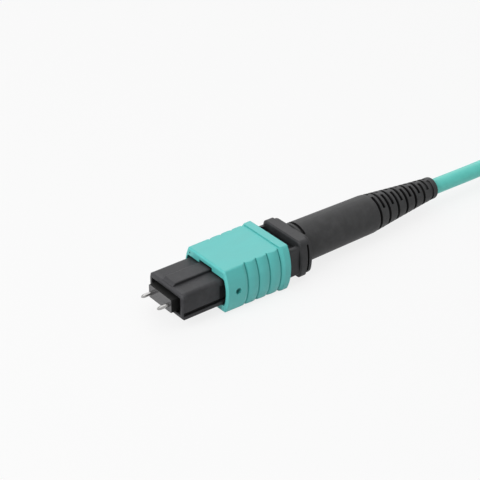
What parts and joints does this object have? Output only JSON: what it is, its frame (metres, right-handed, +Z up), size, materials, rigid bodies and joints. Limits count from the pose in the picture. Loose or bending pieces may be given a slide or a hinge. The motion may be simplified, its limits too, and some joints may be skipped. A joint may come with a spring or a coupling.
{
  "type": "mpo fibre connector",
  "caption": "Multi-fibre plug with guide pins, a spring-loaded ferrule, a sliding release sleeve, a slotted strain relief boot and a folded round cable.",
  "frame": {"origin": "under the middle of the connector (pin tips to the end of the boot), on the surface it lies on", "axes": "+X from the ferrule towards the cable, +Y to the left seen from behind with the key up, +Z up on the key side"},
  "size_m": [0.1663, 0.0285, 0.0136],
  "materials": {
    "ferrule_resin": "moulded, ground end face",
    "window_adhesive": "cured, glossy",
    "pin_steel": "ground and polished",
    "clamp_steel": "satin",
    "spring_steel": "bright wire",
    "inner_rubber": "matt",
    "ribbon_coating": "clear-tinted",
    "housing_black": "fine moulded, slight sheen",
    "sleeve_aqua": "fine moulded, slight sheen",
    "rear_black": "fine moulded",
    "boot_rubber": "soft, matt",
    "crimp_metal": "plated, satin",
    "yarn_fibre": "combed yarn",
    "jacket_aqua": "smooth, slight sheen",
    "tie_fabric": "hook-and-loop weave",
    "fibre_colours": "coated fibres in twelve colours"
  },
  "bodies": {
    "connector": {"plug_housing": "housing_black", "spring_push": "rear_black", "crimp_ring": "crimp_metal", "aramid_yarn": "yarn_fibre", "strain_relief_boot": "boot_rubber", "ferrule_spring": "spring_steel", "sleeve_spring_left": "spring_steel", "sleeve_spring_right": "spring_steel", "cable": "jacket_aqua", "cable_hank": "jacket_aqua", "hank_tie": "tie_fabric", "cable_end_yarn": "yarn_fibre", "cable_end_fibres": "fibre_colours"},
    "sleeve": {"coupling_sleeve": "sleeve_aqua"},
    "ferrule": {"mt_ferrule": "ferrule_resin", "ferrule_adhesive": "window_adhesive", "guide_pin_left": "pin_steel", "guide_pin_right": "pin_steel", "pin_clamp": "clamp_steel", "ferrule_boot": "inner_rubber", "fibre_ribbon": "ribbon_coating"}
  },
  "joints": [
    {"name": "sleeve_slide", "type": "slide", "parent": "connector", "child": "sleeve", "axis": [1, 0, 0], "range_m": [0, 0.0025], "stiffness_N_per_m": 800, "deforming": ["sleeve_spring_left", "sleeve_spring_right"]},
    {"name": "ferrule_slide", "type": "slide", "parent": "connector", "child": "ferrule", "axis": [1, 0, 0], "range_m": [0, 0.001], "stiffness_N_per_m": 6000, "deforming": ["ferrule_spring"]}
  ]
}
